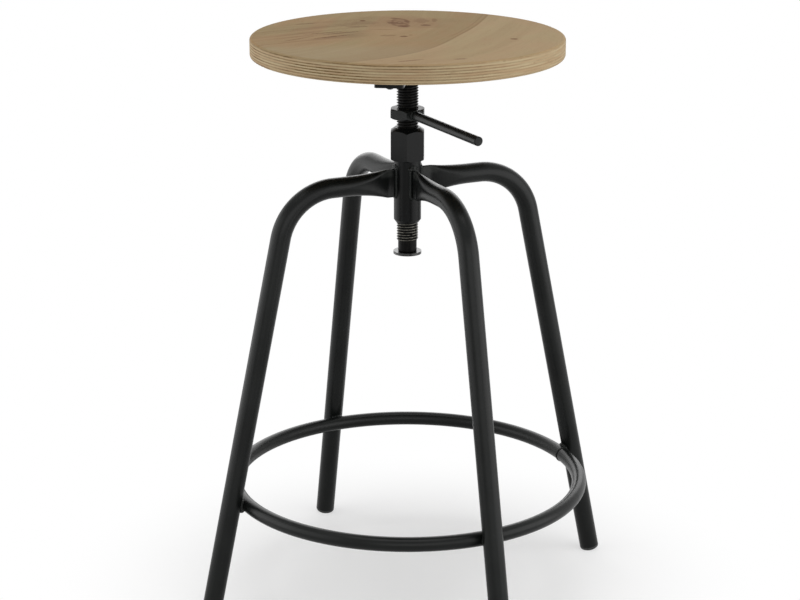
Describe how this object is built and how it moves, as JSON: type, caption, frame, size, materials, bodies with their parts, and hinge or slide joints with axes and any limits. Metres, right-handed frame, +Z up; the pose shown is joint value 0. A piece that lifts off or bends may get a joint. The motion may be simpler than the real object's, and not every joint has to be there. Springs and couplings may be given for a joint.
{
  "type": "bar stool",
  "caption": "Screw-height bar stool: round plywood seat on a threaded spindle with a lever lock nut, hub, splayed bent tube legs and a round foot ring",
  "frame": {"origin": "on the floor, on the spindle's axis, in the middle of the stool's foot print", "axes": "+Z up, front towards -Y, legs on the diagonals"},
  "size_m": [0.4074, 0.4074, 0.64],
  "materials": {
    "frame_coat": "satin black powder coat on steel tube",
    "spindle_steel": "black oxide steel, worn brighter on the thread crests",
    "lock_coat": "satin black coat, rubbed on the upper edges",
    "fastener_steel": "black oxide fasteners",
    "insert_brass": "plain brass threaded inserts inside the seat",
    "seat_plies": "bare plywood edge with light and dark plies",
    "seat_face": "matt oak face leaf with knots and long grain",
    "foot_plastic": "black plastic foot caps"
  },
  "bodies": {
    "frame": {"hub": "frame_coat", "hub_weld_beads": "frame_coat", "leg_front_left": "frame_coat", "leg_front_right": "frame_coat", "leg_rear_left": "frame_coat", "leg_rear_right": "frame_coat", "cap_front_left": "foot_plastic", "cap_front_right": "foot_plastic", "cap_rear_left": "foot_plastic", "cap_rear_right": "foot_plastic", "foot_ring": "frame_coat"},
    "lift": {"stop_washer": "spindle_steel"},
    "seat": {"spindle": "spindle_steel", "stop_screw": "fastener_steel", "seat_bracket": "frame_coat", "seat_bolts": "fastener_steel", "seat_inserts": "insert_brass", "seat_core": "seat_plies", "seat_face_leaf": "seat_face"},
    "lock": {"lock_nut": "lock_coat", "lock_lever": "lock_coat"}
  },
  "joints": [
    {"name": "seat_turn", "type": "hinge", "parent": "lift", "child": "seat", "pos_m": [0, 0, 0.4], "axis": [0, 0, 1], "range_deg": [-5760, 3780]},
    {"name": "seat_lift", "type": "slide", "parent": "frame", "child": "lift", "axis": [0, 0, 1], "range_m": [-0.0482, 0.0316]},
    {"name": "lock_turn", "type": "hinge", "parent": "frame", "child": "lock", "pos_m": [0, 0, 0.5555], "axis": [0, 0, 1], "range_deg": [-1200, 6360]}
  ],
  "couplings": [
    {"joint": "seat_lift", "follows": "seat_turn", "m_per_rad": 0.00047746}
  ]
}
